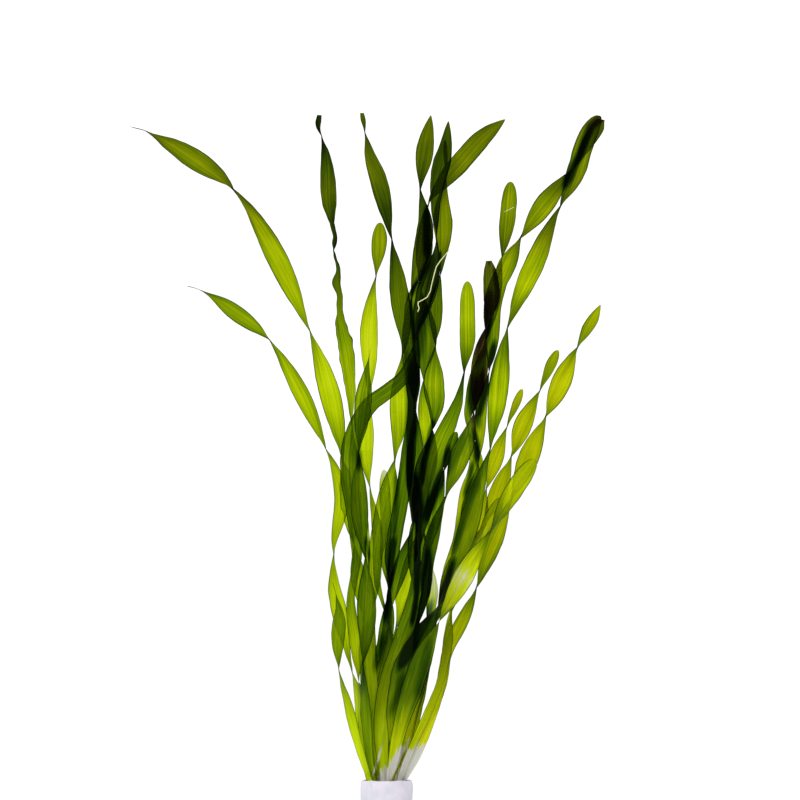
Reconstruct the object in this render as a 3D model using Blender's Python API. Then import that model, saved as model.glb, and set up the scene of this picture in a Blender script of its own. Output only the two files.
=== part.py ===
"""A bunch of corkscrew vallisneria standing in a white foam sleeve.

Metres, +Z up, the front towards -Y. The origin is the middle of the sleeve's
flat foot. Each leaf is one closed twisted ribbon.
"""

import math

import bpy
import bmesh
from mathutils import Vector

# Driving dimensions, in metres
STEP = 0.0004             # one step of the leaf map below
AXIS_X = 386              # the sleeve's axis on the map
MOUTH_Y = 780             # the sleeve's mouth on the map

SLEEVE_HEIGHT = 0.038
SLEEVE_RADIUS = 0.0106    # round the leaves, at the mouth
ROOT_RADIUS = 0.0136      # round the roots, lower down
SLEEVE_WALL = 0.0016      # squeezed by the bunch
LIP_WALL = 0.0012
SEAM_STEP = 0.0008        # how far the overlapping end stands proud
SEAM_ANGLE = 238.0        # degrees from +X, on the front a little to the left

CROWN_HEIGHT = 0.0235
GAP = 0.0003              # between touching pieces

LEAF_THICKNESS = 0.0005
LEAF_GAP = 0.0008         # clear space wanted between two leaves
LEAF_STATION = 0.0056     # distance between a ribbon's sections
LEAN_ROOM = 0.0006        # more of it for a leaf that leans over by 45 degrees
FOOT_TURN = 0.18          # half turns by which the outer feet face outward
QUARTER = 50              # map steps that a flat foot takes to turn edge-on
TIP_QUARTER = 40          # and that a tip takes to turn from edge-on to flat
LEVEL = 0.003             # spacing of the levels where leaves are kept apart
BUNCH_RADIUS = 0.0080     # leaves keep inside this at the sleeve's mouth
ROUNDS = 420              # passes of smoothing and pushing apart
SETTLE_ROUNDS = 160       # the last ones only push
SPREAD_FOOT = 0.011       # depth of the bunch at the sleeve's mouth
SPREAD_TOP = 0.120        # and at the top of the tallest leaf

# The leaf map: x runs right and y runs down, as seen from the front.
# route: points up the middle of the leaf, foot first
# edge_on: heights where the leaf is seen edge-on, half a turn apart
# width: one number, or (y, width) pairs from the tip down
# rank: 0 is the front of the bunch and 1 is the back
LEAVES = {
    "leaf_01": {
        "rank": 0.04, "width": 14, "tip": "point", "edge_on": (668, 590),
        "route": ((378, 811), (370, 782), (363, 760), (357, 740), (352, 720), (347, 700),
                  (342, 683), (339, 668), (338, 640), (340, 612), (337, 596), (333, 581)),
    },
    "leaf_02": {
        "rank": 0.82, "tip": "point", "edge_on": (620, 545, 461, 330, 187, 128),
        "width": ((123, 21), (461, 21), (500, 16)),
        "route": ((379, 811), (373, 782), (370, 745), (368, 700), (366, 650), (363, 610),
                  (358, 575), (355, 550), (351, 525), (347, 495), (342, 461), (336, 425),
                  (327, 385), (309, 330), (270, 246), (231, 187), (187, 153), (143, 128),
                  (125, 123)),
    },
    "leaf_03": {
        "rank": 0.46, "tip": "point", "edge_on": (672, 554, 449, 339, 290),
        "width": ((286, 16), (440, 16), (500, 14), (555, 15), (605, 16), (640, 12), (660, 11),
                  (690, 17), (740, 18)),
        "route": ((376, 811), (370, 782), (365, 740), (361, 705), (357, 690), (352, 672),
                  (348, 655), (345, 640), (341, 622), (338, 605), (335, 590), (334, 575),
                  (334, 554), (335, 540), (338, 525), (341, 508), (341, 495), (338, 480),
                  (333, 465), (325, 447), (298, 387), (268, 338), (233, 311), (200, 290),
                  (187, 286)),
    },
    "leaf_04": {
        "rank": 0.18, "tip": "point", "edge_on": (680, 345, 238), "flat": ((635, 390),),
        "width": ((124, 20), (175, 17), (205, 10), (240, 11), (262, 16), (285, 20), (345, 18),
                  (380, 14), (400, 16), (430, 17), (480, 19), (540, 12), (570, 8), (597, 8),
                  (620, 11), (650, 14), (700, 17)),
        "route": ((381, 811), (374, 782), (366, 740), (361, 705), (359, 680), (358, 664),
                  (356, 642), (352, 615), (351, 597), (354, 578), (357, 558), (356, 535),
                  (353, 500), (350, 475), (350, 452), (353, 437), (360, 420), (371, 404),
                  (388, 391), (403, 378), (411, 362), (416, 335), (427, 290), (435, 258),
                  (436, 236), (435, 210), (438, 180), (445, 150), (448, 124)),
    },
    "leaf_05": {
        "rank": 0.26, "tip": "cut", "edge_on": (608, 460, 356, 240, 134),
        "flat": ((560, 495),),
        "width": ((115, 9), (140, 17), (270, 18), (320, 20), (460, 18), (480, 18), (505, 18), (540, 16),
                  (560, 14), (620, 13), (700, 14)),
        "route": ((386, 811), (380, 782), (376, 745), (373, 715), (371, 685), (369, 655),
                  (371, 630), (373, 606), (375, 585), (375, 560), (379, 535), (385, 505),
                  (391, 482), (395, 460), (399, 430), (399, 400), (400, 372), (402, 356),
                  (404, 338), (400, 300), (396, 265), (392, 240), (386, 210), (378, 180), (370, 158),
                  (365, 134), (362, 115)),
    },
    "leaf_06": {
        "rank": 0.10, "tip": "point", "edge_on": (664, 557, 452, 352),
        "width": ((346, 12), (400, 17), (500, 17), (590, 20), (650, 18), (700, 15)),
        "route": ((384, 811), (374, 782), (370, 760), (367, 730), (365, 700), (363, 664),
                  (366, 630), (367, 600), (367, 575), (366, 557), (361, 520), (359, 490),
                  (359, 452), (361, 425), (365, 390), (371, 346)),
    },
    "leaf_07": {
        "rank": 0.58, "tip": "round", "edge_on": (622, 487, 398, 276),
        "width": ((222, 16), (276, 17), (320, 18), (400, 17), (490, 14), (525, 13), (560, 9),
                  (580, 8), (600, 8), (640, 12), (700, 18)),
        "route": ((389, 811), (384, 782), (381, 745), (383, 700), (388, 665), (390, 640),
                  (388, 622), (384, 608), (380, 595), (377, 580), (377, 560), (378, 542),
                  (376, 520), (370, 487), (366, 450), (367, 410), (369, 370), (369, 330),
                  (372, 300), (376, 276), (379, 248), (380, 222)),
    },
    "leaf_08": {
        "rank": 0.70, "tip": "cut", "edge_on": (575, 427, 250, 134),
        "width": ((113, 10), (150, 19), (170, 17), (190, 16), (205, 15), (215, 10), (222, 7),
                  (233, 11), (250, 12), (266, 14), (281, 17), (292, 9), (300, 7), (315, 9),
                  (330, 13), (350, 16), (500, 17), (580, 13)),
        "route": ((390, 811), (385, 782), (380, 745), (375, 700), (370, 650), (368, 610),
                  (368, 568), (364, 540), (359, 510), (356, 470), (352, 427), (351, 395),
                  (347, 355), (342, 330), (339, 312), (339, 295), (336, 282), (337, 268),
                  (333, 250), (334, 234), (331, 220), (329, 205), (328, 188), (327, 168),
                  (325, 150), (321, 134), (318, 124), (319, 113)),
    },
    "leaf_09": {
        "rank": 0.62, "tip": "slim", "edge_on": (635, 528, 405, 297, 188),
        "width": ((114, 18), (560, 18), (582, 14), (600, 10), (622, 9), (645, 13), (700, 18)),
        "route": ((388, 811), (384, 782), (381, 745), (379, 705), (382, 670), (387, 635),
                  (389, 605), (396, 582), (404, 560), (413, 528), (415, 490), (415, 450),
                  (414, 410), (412, 370), (410, 330), (412, 297), (420, 262), (425, 225),
                  (420, 188), (424, 155), (431, 114)),
    },
    "leaf_10": {
        "rank": 0.50, "tip": "round", "edge_on": (600, 508, 430, 345, 275, 175),
        "width": ((140, 6), (168, 7), (185, 14), (220, 20), (260, 14), (340, 14), (370, 21)),
        "route": ((388, 811), (389, 782), (389, 745), (391, 710), (396, 680), (404, 655),
                  (411, 630), (416, 600), (418, 560), (418, 520), (423, 482), (429, 452),
                  (432, 430), (435, 405), (434, 385), (435, 360), (436, 332), (436, 300),
                  (440, 275), (442, 255), (443, 235), (443, 205), (446, 180), (446, 160), (445, 140)),
    },
    "leaf_11": {
        "rank": 0.74, "tip": "slim", "edge_on": (627, 535, 456, 380, 290, 202),
        "width": ((117, 19), (165, 20), (200, 17), (290, 17), (330, 23), (355, 22), (380, 16),
                  (400, 14), (440, 15), (480, 17)),
        "route": ((391, 811), (392, 782), (389, 745), (386, 710), (388, 680), (391, 655),
                  (396, 627), (401, 602), (408, 580), (414, 550), (419, 520), (421, 490),
                  (425, 456), (426, 425), (424, 395), (424, 372), (426, 345), (425, 325), (421, 290),
                  (425, 240), (429, 202), (446, 178), (464, 157), (483, 136), (506, 117)),
    },
    "leaf_12": {
        "rank": 0.90, "width": 16, "tip": "round", "edge_on": (617, 430, 340, 257),
        "flat": ((568, 478),),
        "route": ((396, 811), (401, 782), (409, 745), (416, 710), (422, 675), (425, 657),
                  (429, 640), (434, 626), (438, 611), (445, 590), (450, 575), (455, 560),
                  (460, 545), (463, 530), (465, 515), (467, 500), (470, 488), (475, 476),
                  (477, 463), (474, 446), (469, 430), (469, 415), (473, 400), (479, 370),
                  (486, 340), (491, 310), (497, 283), (503, 257), (507, 232), (510, 205),
                  (512, 179)),
    },
    "leaf_13": {
        "rank": 0.62, "tip": "cut", "edge_on": (622, 540, 463, 372, 237, 168),
        "flat": ((335, 272),),
        "width": ((118, 12), (128, 14), (145, 15), (205, 20), (250, 21), (262, 20), (280, 15), (340, 14),
                  (372, 13), (400, 12), (430, 12), (463, 14), (540, 18), (700, 18)),
        "route": ((394, 811), (398, 782), (405, 745), (411, 710), (418, 680), (424, 650),
                  (430, 635), (437, 620), (444, 602), (450, 582), (456, 562), (463, 535),
                  (470, 508), (475, 484), (478, 463), (479, 447), (480, 430), (481, 415),
                  (483, 400), (487, 385), (491, 360), (493, 330), (495, 303), (503, 275),
                  (519, 240), (544, 205), (574, 168), (583, 152), (591, 138), (598, 127),
                  (602, 118)),
    },
    "leaf_14": {
        "rank": 0.34, "tip": "round", "edge_on": (605, 449, 328, 207),
        "width": ((117, 17), (150, 19), (230, 20)),
        "route": ((392, 811), (394, 782), (390, 745), (391, 710), (396, 677), (405, 657),
                  (415, 641), (428, 622), (438, 606), (446, 587), (455, 565), (463, 543),
                  (470, 520), (476, 497), (484, 470), (490, 449), (494, 425), (497, 402),
                  (499, 380), (502, 355), (507, 328), (514, 308), (524, 285), (536, 260),
                  (548, 232), (560, 207), (570, 187), (577, 168), (581, 153), (586, 139),
                  (592, 127), (599, 117)),
    },
    "leaf_15": {
        "rank": 0.14, "tip": "cut", "edge_on": (632, 496, 412, 328),
        "width": ((262, 9), (280, 15), (300, 18), (370, 17), (400, 17), (450, 20), (520, 19),
                  (560, 13), (600, 12), (640, 18), (700, 19)),
        "route": ((393, 811), (396, 782), (396, 748), (394, 715), (398, 685), (404, 660),
                  (411, 638), (419, 615), (425, 592), (427, 565), (432, 540), (439, 516),
                  (446, 496), (453, 478), (459, 458), (466, 440), (472, 420), (476, 392),
                  (479, 368), (482, 345), (486, 328), (491, 302), (490, 280), (488, 262)),
    },
    "leaf_16": {
        "rank": 0.22, "tip": "round", "edge_on": (552, 373),
        "width": ((282, 14), (340, 16), (400, 20), (560, 20), (595, 15), (625, 17), (700, 20)),
        "route": ((387, 811), (385, 782), (382, 748), (382, 722), (386, 695), (392, 670),
                  (401, 643), (409, 618), (416, 590), (418, 560), (421, 530), (426, 505),
                  (430, 482), (435, 460), (442, 440), (451, 420), (459, 400), (464, 373),
                  (467, 345), (467, 315), (467, 282)),
    },
    "leaf_17": {
        "rank": 0.38, "tip": "slim", "edge_on": (588, 500, 417, 348),
        "width": ((305, 18), (382, 20), (440, 21), (530, 19), (590, 17), (635, 13), (662, 10),
                  (685, 10), (705, 13), (735, 15)),
        "route": ((396, 811), (402, 783), (409, 770), (415, 759), (421, 744), (428, 724),
                  (435, 703), (441, 684), (444, 667), (448, 650), (456, 633), (466, 612),
                  (476, 588), (487, 557), (498, 530), (509, 505), (521, 478), (533, 445),
                  (545, 417), (561, 382), (577, 348), (592, 321), (600, 305)),
    },
    "leaf_18": {
        "rank": 0.54, "tip": "round", "edge_on": (605, 525, 457, 391),
        "width": ((350, 12), (391, 15), (430, 19), (480, 17), (560, 17), (640, 11), (662, 9),
                  (690, 10), (715, 13)),
        "route": ((395, 811), (401, 782), (413, 750), (424, 725), (434, 705), (442, 684),
                  (446, 660), (448, 635), (451, 608), (459, 583), (468, 560), (480, 535),
                  (491, 510), (500, 487), (511, 457), (524, 423), (540, 391), (550, 368),
                  (558, 350)),
    },
    "leaf_19": {
        "rank": 0.42, "tip": "round", "edge_on": (620, 555, 489, 427),
        "width": ((389, 10), (427, 12), (455, 15), (600, 13), (700, 12)),
        "route": ((396, 811), (401, 782), (406, 745), (411, 715), (417, 690), (423, 665),
                  (429, 640), (437, 618), (446, 597), (457, 578), (467, 560), (474, 540),
                  (481, 515), (486, 489), (497, 455), (507, 427), (515, 407), (522, 389)),
    },
    "leaf_20": {
        "rank": 0.08, "tip": "round", "edge_on": (612, 549),
        "width": ((497, 14), (600, 13), (640, 10), (665, 9), (690, 9), (720, 12)),
        "route": ((395, 811), (399, 782), (410, 752), (421, 728), (432, 703), (440, 682),
                  (445, 660), (448, 638), (450, 618), (454, 598), (461, 575), (470, 549),
                  (482, 533), (492, 515), (500, 497)),
    },
    "leaf_21": {
        "rank": 0.0, "tip": "round", "edge_on": (621, 530),
        "width": ((459, 18), (500, 18), (570, 20), (640, 20), (690, 22), (740, 18)),
        "route": ((390, 811), (390, 782), (396, 745), (402, 720), (409, 697), (417, 672),
                  (427, 645), (439, 621), (448, 603), (462, 578), (477, 552), (491, 530),
                  (500, 513), (510, 495), (522, 476), (534, 459)),
    },
    "leaf_22": {
        "rank": 0.86, "width": 11, "tip": "round", "edge_on": (590,),
        "route": ((389, 811), (388, 782), (386, 745), (385, 700), (384, 665), (387, 625),
                  (388, 590), (385, 560), (386, 530), (385, 500), (384, 470)),
    },
    "leaf_23": {
        "rank": 0.96, "tip": "round", "edge_on": (640, 560, 471),
        "width": ((430, 12), (480, 18), (530, 18), (570, 12), (600, 11), (620, 9)),
        "route": ((395, 811), (398, 782), (404, 742), (410, 710), (416, 680), (424, 648),
                  (430, 615), (433, 590), (431, 568), (429, 548), (432, 524), (436, 502),
                  (440, 485), (444, 471), (450, 450), (457, 432)),
    },
    "leaf_24": {
        "rank": 0.80, "tip": "round", "edge_on": (590,),
        "width": ((280, 12), (305, 16), (385, 15), (403, 9), (420, 9), (450, 15)),
        "route": ((384, 811), (380, 782), (376, 745), (374, 705), (378, 670), (385, 640),
                  (389, 600), (391, 562), (395, 535), (400, 508), (405, 480), (409, 450),
                  (412, 412), (413, 385), (412, 355), (411, 330), (413, 305), (418, 280)),
    },
}


def map_x(x):
    return (x - AXIS_X) * STEP


def map_z(y):
    return SLEEVE_HEIGHT + (MOUTH_Y - y) * STEP


def step_between(pairs, at):
    """Straight-line value at a place, from (place, value) pairs in rising order."""
    if at <= pairs[0][0]:
        return pairs[0][1]
    for (p0, v0), (p1, v1) in zip(pairs, pairs[1:]):
        if at <= p1:
            return v0 + (v1 - v0) * (at - p0) / (p1 - p0)
    return pairs[-1][1]


def curve_between(pairs, at):
    """Smooth value at a place, through every (place, value) pair."""
    last = len(pairs) - 1
    at = min(max(at, pairs[0][0]), pairs[last][0])
    i = 0
    while i < last - 1 and at > pairs[i + 1][0]:
        i += 1

    def slope(j):
        a = max(j - 1, 0)
        b = min(j + 1, last)
        return (pairs[b][1] - pairs[a][1]) / (pairs[b][0] - pairs[a][0])

    p0, v0 = pairs[i]
    p1, v1 = pairs[i + 1]
    span = p1 - p0
    t = (at - p0) / span
    h00 = (1 + 2 * t) * (1 - t) ** 2
    h10 = t * (1 - t) ** 2
    h01 = t * t * (3 - 2 * t)
    h11 = t * t * (t - 1)
    return h00 * v0 + h10 * span * slope(i) + h01 * v1 + h11 * span * slope(i + 1)


class Leaf:
    """One leaf's course: everything is a function of the height z."""

    def __init__(self, name, data):
        self.name = name
        self.rank = data["rank"]
        self.tip = data["tip"]
        self.route = [(map_z(y), map_x(x)) for x, y in data["route"]]
        self.foot = self.route[0][0]
        self.top = self.route[-1][0]
        self.turns = self.turn_pairs(data, self.foot_turn())
        self.widths = self.width_pairs(data["width"])
        self.depths = []

    def foot_turn(self):
        """The foot faces outward from the bunch: its turn depends on its quarter."""
        aside = max(-1.0, min(1.0, self.route[1][1] / 0.005))
        back = max(-1.0, min(1.0, (self.rank - 0.48) / 0.30))
        return FOOT_TURN * aside * back

    def turn_pairs(self, data, foot_turn):
        """Half turns against height: 0 is flat, 0.5 is edge-on."""
        heights = [map_z(y) for y in data["edge_on"]]
        flat_until = max(self.foot + 0.001, heights[0] - QUARTER * STEP)
        pairs = [(self.foot, foot_turn), (flat_until, foot_turn)]
        pairs += [(z, 0.5 + i) for i, z in enumerate(heights)]
        end = len(heights)
        over = self.top - heights[-1]
        pairs.append((heights[-1] + min(over, TIP_QUARTER * STEP) + 0.0001,
                      end - 0.5 + 0.5 * min(1.0, over / (TIP_QUARTER * STEP))))
        for span in data.get("flat", ()):
            below = len([z for z in heights if z < map_z(span[0])])
            pairs += [(map_z(y), below) for y in span]
        return sorted(pairs)

    def width_pairs(self, width):
        if not isinstance(width, tuple):
            return [(0.0, width * STEP)]
        return [(map_z(y), w * STEP) for y, w in reversed(width)]

    def x(self, z):
        return curve_between(self.route, z)

    def depth(self, z):
        return curve_between(self.depths, z)

    def angle(self, z):
        return math.pi * step_between(self.turns, z)

    def width(self, z):
        """Blade width, narrower where the foot is packed in the sleeve."""
        above = z - SLEEVE_HEIGHT
        packed = step_between([(-0.012, 0.36), (0.0, 0.42), (0.016, 0.72), (0.036, 1.0)], above)
        return step_between(self.widths, z) * packed

    def slant(self, z):
        step = 0.001
        return (self.x(z + step) - self.x(z - step)) / (2 * step)


def levels_of(leaf):
    first = math.ceil(leaf.foot / LEVEL)
    last = math.floor(leaf.top / LEVEL)
    return range(first, last + 1)


def section_at(leaf, z):
    """Level cut through a leaf, as (x, depth offset) points across the blade."""
    points = []
    for share in (-1.0, -0.5, 0.0, 0.5, 1.0):
        off = share * leaf.width(z) / 2
        angle = leaf.angle(z)
        lean = leaf.slant(z)
        level = 1 / math.sqrt(1 + lean * lean)
        source = z + off * math.cos(angle) * lean * level
        source = min(max(source, leaf.foot), leaf.top)
        angle = leaf.angle(source)
        x = leaf.x(source) + off * math.cos(angle) * level
        points.append((x, -off * math.sin(angle)))
    return points


def reach_at(points, x, margin, side):
    """Furthest depth offset of a cut at x: side is +1 for its back, -1 for its front."""
    best = None
    for (xa, da), (xb, db) in zip(points, points[1:]):
        if xa > xb:
            xa, da, xb, db = xb, db, xa, da
        if x < xa - margin or x > xb + margin:
            continue
        t = (x - xa) / max(xb - xa, 0.00005)
        t0 = min(1.0, max(0.0, t - margin / max(xb - xa, 0.00005)))
        t1 = min(1.0, max(0.0, t + margin / max(xb - xa, 0.00005)))
        for share in (t0, t1):
            value = side * (da + (db - da) * share)
            if best is None or value > best:
                best = value
    return best


def gap_at(z):
    """Clear space between leaves: small where they are packed in the sleeve."""
    return step_between([(0.0, 0.00035), (0.010, 0.0005), (0.030, LEAF_GAP)], z - SLEEVE_HEIGHT)


def needed_depth(front, back, gap):
    """How far the second cut must lie behind the first, or None if they pass clear."""
    margin = (LEAF_THICKNESS + gap) / 2
    low = max(min(p[0] for p in front), min(p[0] for p in back)) - margin
    high = min(max(p[0] for p in front), max(p[0] for p in back)) + margin
    if low > high:
        return None
    most = None
    for i in range(9):
        x = low + (high - low) * i / 8
        over = reach_at(front, x, margin, 1)
        under = reach_at(back, x, margin, -1)
        if over is None or under is None:
            continue
        if most is None or over + under > most:
            most = over + under
    if most is None:
        return None
    return most + LEAF_THICKNESS + gap


def spread_apart(leaves):
    """Choose every leaf's depth so that the bunch fans out and no leaves meet."""
    top = max(leaf.top for leaf in leaves)
    order = sorted(leaves, key=lambda leaf: leaf.rank)
    depth = {}
    target = {}
    cuts = {}
    for leaf in order:
        for level in levels_of(leaf):
            z = level * LEVEL
            up = max(0.0, (z - SLEEVE_HEIGHT) / (top - SLEEVE_HEIGHT))
            fan = SPREAD_FOOT + (SPREAD_TOP - SPREAD_FOOT) * up
            target[leaf.name, level] = (leaf.rank - 0.48) * fan
            depth[leaf.name, level] = target[leaf.name, level]
            cuts[leaf.name, level] = section_at(leaf, z)

    pairs = []
    for i, front in enumerate(order):
        for back in order[i + 1:]:
            for level in levels_of(front):
                if (back.name, level) not in cuts:
                    continue
                gap = gap_at(level * LEVEL)
                need = needed_depth(cuts[front.name, level], cuts[back.name, level], gap)
                if need is not None:
                    lean = max(abs(front.slant(level * LEVEL)), abs(back.slant(level * LEVEL)))
                    need += LEAN_ROOM * lean
                    pairs.append(((front.name, level), (back.name, level), need))

    for turn in range(ROUNDS):
        if turn < ROUNDS - SETTLE_ROUNDS:
            for leaf in order:
                run = levels_of(leaf)
                smooth = {}
                for level in run:
                    here = depth[leaf.name, level]
                    below = depth.get((leaf.name, level - 1), here)
                    above = depth.get((leaf.name, level + 1), here)
                    pull = target[leaf.name, level] - here
                    smooth[level] = here + 0.3 * (below + above - 2 * here) + 0.02 * pull
                for level in run:
                    depth[leaf.name, level] = smooth[level]
        for one, two, need in pairs:
            short = need - (depth[two] - depth[one])
            if short > 0:
                depth[one] -= 0.5 * short
                depth[two] += 0.5 * short
        for key, points in cuts.items():
            if key[1] * LEVEL < SLEEVE_HEIGHT + LEVEL:
                side = min(max(abs(x) for x, off in points), 0.95 * BUNCH_RADIUS)
                room = math.sqrt(BUNCH_RADIUS ** 2 - side ** 2)
                depth[key] = max(-room, min(room, depth[key]))

    for leaf in order:
        leaf.depths = [(level * LEVEL, depth[leaf.name, level]) for level in levels_of(leaf)]


def point_on(leaf, z):
    return Vector((leaf.x(z), leaf.depth(z), z))


def heights_along(leaf):
    """Heights of the ribbon's sections, evenly spaced along the leaf."""
    fine = 400
    heights = [leaf.foot + (leaf.top - leaf.foot) * i / fine for i in range(fine + 1)]
    run = [0.0]
    for low, high in zip(heights, heights[1:]):
        run.append(run[-1] + (point_on(leaf, high) - point_on(leaf, low)).length)
    length = run[-1]
    count = max(8, round(length / LEAF_STATION))
    wanted = [length * i / count for i in range(count)]
    wanted += [length - 0.0024, length - 0.0009, length]
    pairs = list(zip(run, heights))
    return [(w, step_between(pairs, w), length) for w in sorted(set(wanted))]


def tip_factor(kind, left):
    """Share of the full width at a distance from the leaf's end."""
    if kind == "point":
        return 0.12 + 0.88 * min(1.0, left / 0.016) ** 0.8
    if kind == "slim":
        return 0.14 + 0.86 * min(1.0, left / 0.016) ** 0.6
    if kind == "round":
        return 0.18 + 0.82 * min(1.0, left / 0.0105) ** 0.55
    return 0.50 + 0.50 * min(1.0, left / 0.0040)


def add_object(name, bm, colour, roughness):
    mesh = bpy.data.meshes.new(name)
    bmesh.ops.recalc_face_normals(bm, faces=bm.faces[:])
    bm.to_mesh(mesh)
    bm.free()
    piece = bpy.data.objects.new(name, mesh)
    bpy.context.collection.objects.link(piece)
    material = bpy.data.materials.new(name)
    material.use_nodes = True
    shader = material.node_tree.nodes["Principled BSDF"]
    shader.inputs["Base Color"].default_value = (*colour, 1.0)
    shader.inputs["Roughness"].default_value = roughness
    shader.inputs["Metallic"].default_value = 0.0
    mesh.materials.append(material)
    return piece


def skin_rings(bm, rings):
    """Join closed rings of vertices with faces and close both ends."""
    for low, high in zip(rings, rings[1:]):
        for i in range(len(low)):
            j = (i + 1) % len(low)
            bm.faces.new((low[i], low[j], high[j], high[i]))
    bm.faces.new(rings[0])
    bm.faces.new(rings[-1])


def make_leaf(leaf, colour):
    bm = bmesh.new()
    rings = []
    for along, z, length in heights_along(leaf):
        here = point_on(leaf, z)
        small = 0.0006
        tangent = (point_on(leaf, z + small) - point_on(leaf, z - small)).normalized()
        side = tangent.cross(Vector((0, 1, 0))).normalized()
        face = side.cross(tangent)
        angle = leaf.angle(z)
        across = side * math.cos(angle) + face * math.sin(angle)
        through = tangent.cross(across).normalized() * (LEAF_THICKNESS / 2)
        half = across * (leaf.width(z) / 2 * tip_factor(leaf.tip, length - along))
        corners = (here - half - through, here + half - through,
                   here + half + through, here - half + through)
        rings.append([bm.verts.new(corner) for corner in corners])
    skin_rings(bm, rings)
    return add_object(leaf.name, bm, colour, 0.45)


def sleeve_radius(z):
    """The foam is wrapped over the roots and narrows to the leaves above them."""
    up = min(1.0, max(0.0, (z - 0.009) / 0.019))
    return ROOT_RADIUS + (SLEEVE_RADIUS - ROOT_RADIUS) * up * up * (3 - 2 * up)


def bore_radius(z, wall):
    return sleeve_radius(z) - SEAM_STEP / 2 - wall


def sleeve_outline(z, wall, inset):
    """One level of the wrapped sleeve, as its outer and its inner outline."""
    count = 36
    outer = []
    inner = []
    for i in range(count):
        turn = i / count
        angle = math.radians(SEAM_ANGLE) + turn * 2 * math.pi
        radius = sleeve_radius(z) - inset - SEAM_STEP * turn ** 1.5
        outer.append((radius * math.cos(angle), radius * math.sin(angle)))
        bore = bore_radius(z, wall)
        inner.append((bore * math.cos(angle), bore * math.sin(angle)))
    return outer, inner


def make_sleeve():
    """Foam strip wrapped once round the bunch: the seam is a step in its wall."""
    profile = (
        (0.0, SLEEVE_WALL, 0.0006),
        (0.0010, SLEEVE_WALL, 0.0),
        (0.010, SLEEVE_WALL, 0.0),
        (0.016, SLEEVE_WALL, 0.0),
        (0.022, SLEEVE_WALL, 0.0),
        (0.028, SLEEVE_WALL, 0.0),
        (SLEEVE_HEIGHT - 0.0016, LIP_WALL + 0.0003, 0.0001),
        (SLEEVE_HEIGHT, LIP_WALL, 0.0006),
    )
    bm = bmesh.new()
    outers = []
    inners = []
    for z, wall, inset in profile:
        outer, inner = sleeve_outline(z, wall, inset)
        outers.append([bm.verts.new((x, y, z)) for x, y in outer])
        inners.append([bm.verts.new((x, y, z)) for x, y in inner])
    loop = outers + inners[::-1]
    for low, high in zip(loop, loop[1:] + loop[:1]):
        for i in range(len(low)):
            j = (i + 1) % len(low)
            bm.faces.new((low[i], low[j], high[j], high[i]))
    return add_object("foam_sleeve", bm, (0.80, 0.79, 0.83), 0.9)


def make_crown():
    """Crowns and roots packed together: a lobed plug inside the sleeve."""
    bm = bmesh.new()
    rings = []
    for z, size in ((0.0, 0.90), (0.003, 1.0), (0.010, 1.0), (0.016, 0.96),
                    (CROWN_HEIGHT, 0.86)):
        bore = bore_radius(z, SLEEVE_WALL) - GAP
        ring = []
        for i in range(30):
            angle = 2 * math.pi * i / 30
            radius = bore * size * (0.96 + 0.04 * math.cos(3 * angle))
            ring.append(bm.verts.new((radius * math.cos(angle), radius * math.sin(angle), z)))
        rings.append(ring)
    skin_rings(bm, rings)
    return add_object("crown_bunch", bm, (0.62, 0.60, 0.46), 0.7)


def leaf_colour(leaf):
    """Yellow-green in front and on short leaves, deeper green on the tall ones."""
    tall = min(1.0, max(0.0, (leaf.top - 0.12) / 0.19))
    return (0.36 - 0.16 * tall, 0.42 - 0.14 * tall, 0.010)


def clear_scene():
    for piece in list(bpy.data.objects):
        bpy.data.objects.remove(piece, do_unlink=True)


def main():
    clear_scene()
    make_sleeve()
    make_crown()
    leaves = [Leaf(name, data) for name, data in LEAVES.items()]
    spread_apart(leaves)
    for leaf in leaves:
        make_leaf(leaf, leaf_colour(leaf))


main()
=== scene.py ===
"""The look of a bunch of corkscrew vallisneria in its white foam sleeve.

The leaf map and the rule that spreads the leaves are the same as in the solids,
so every finer blade lies where its solid leaf lies.
"""

import math

import bpy
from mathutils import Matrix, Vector, noise


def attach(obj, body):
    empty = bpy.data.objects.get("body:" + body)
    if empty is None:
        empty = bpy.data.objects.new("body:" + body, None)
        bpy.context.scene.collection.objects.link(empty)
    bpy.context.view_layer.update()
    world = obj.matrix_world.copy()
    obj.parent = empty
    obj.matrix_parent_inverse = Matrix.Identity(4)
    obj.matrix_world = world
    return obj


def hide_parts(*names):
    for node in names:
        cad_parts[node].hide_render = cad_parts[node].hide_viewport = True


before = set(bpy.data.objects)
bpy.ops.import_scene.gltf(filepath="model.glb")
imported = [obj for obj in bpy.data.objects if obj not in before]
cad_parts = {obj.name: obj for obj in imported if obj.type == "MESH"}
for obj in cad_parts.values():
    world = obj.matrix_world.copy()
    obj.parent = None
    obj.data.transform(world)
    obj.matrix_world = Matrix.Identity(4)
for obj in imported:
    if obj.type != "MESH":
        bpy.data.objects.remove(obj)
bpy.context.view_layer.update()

# Driving dimensions, in metres
STEP = 0.0004             # one step of the leaf map below
AXIS_X = 386              # the sleeve's axis on the map
MOUTH_Y = 780             # the sleeve's mouth on the map
MAP_SIZE = 800            # steps across and down the map

SLEEVE_HEIGHT = 0.038
SLEEVE_RADIUS = 0.0106    # round the leaves, at the mouth
ROOT_RADIUS = 0.0136      # round the roots, lower down
NARROW_FROM = 0.009       # height where the sleeve begins to narrow
NARROW_OVER = 0.019       # and over how much height it does
SLEEVE_WALL = 0.0016      # squeezed by the bunch
LIP_WALL = 0.0012
SEAM_STEP = 0.0008        # how far the overlapping end stands proud
SEAM_ANGLE = 238.0        # degrees from +X, on the front a little to the left

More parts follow.
